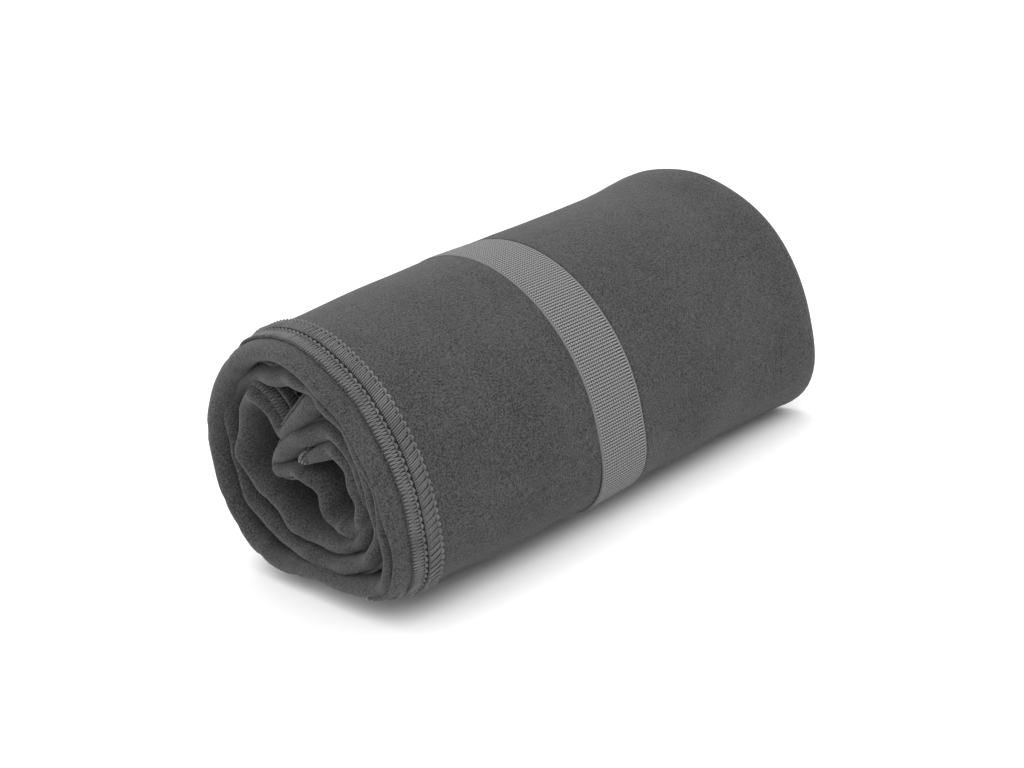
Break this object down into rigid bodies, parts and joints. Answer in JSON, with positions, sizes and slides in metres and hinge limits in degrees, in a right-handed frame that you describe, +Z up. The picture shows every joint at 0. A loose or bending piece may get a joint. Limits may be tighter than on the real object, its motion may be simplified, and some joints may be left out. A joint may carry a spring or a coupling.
{
  "type": "quick dry towel",
  "caption": "Microfibre travel towel, folded lengthwise and rolled up, with overlocked edges, held by a woven elastic strap that slides along the roll.",
  "frame": {"origin": "bottom centre of the bounding box, on the surface that the rolled towel rests on", "axes": "+X along the roll from its open-edged near end to its folded far end, +Y to the back, where the strap's lap is, +Z up"},
  "size_m": [0.1932, 0.1208, 0.0945],
  "materials": {
    "microfibre_cloth": "dark grey suede-finish microfibre, matt",
    "overlock_thread": "grey textured polyester thread",
    "woven_elastic": "light grey ribbed woven elastic, matt",
    "bartack_thread": "grey sewing thread, close stitches"
  },
  "bodies": {
    "towel_roll": {"towel_cloth": "microfibre_cloth", "outer_long_edge_overlock": "overlock_thread", "inner_long_edge_overlock": "overlock_thread", "outer_end_overlock": "overlock_thread", "core_end_overlock": "overlock_thread"},
    "strap": {"elastic_strap": "woven_elastic", "strap_bartack_1": "bartack_thread", "strap_bartack_2": "bartack_thread"}
  },
  "joints": [
    {"name": "strap_slide", "type": "slide", "parent": "towel_roll", "child": "strap", "axis": [1, 0, 0], "range_m": [-0.107, 0.116]}
  ]
}
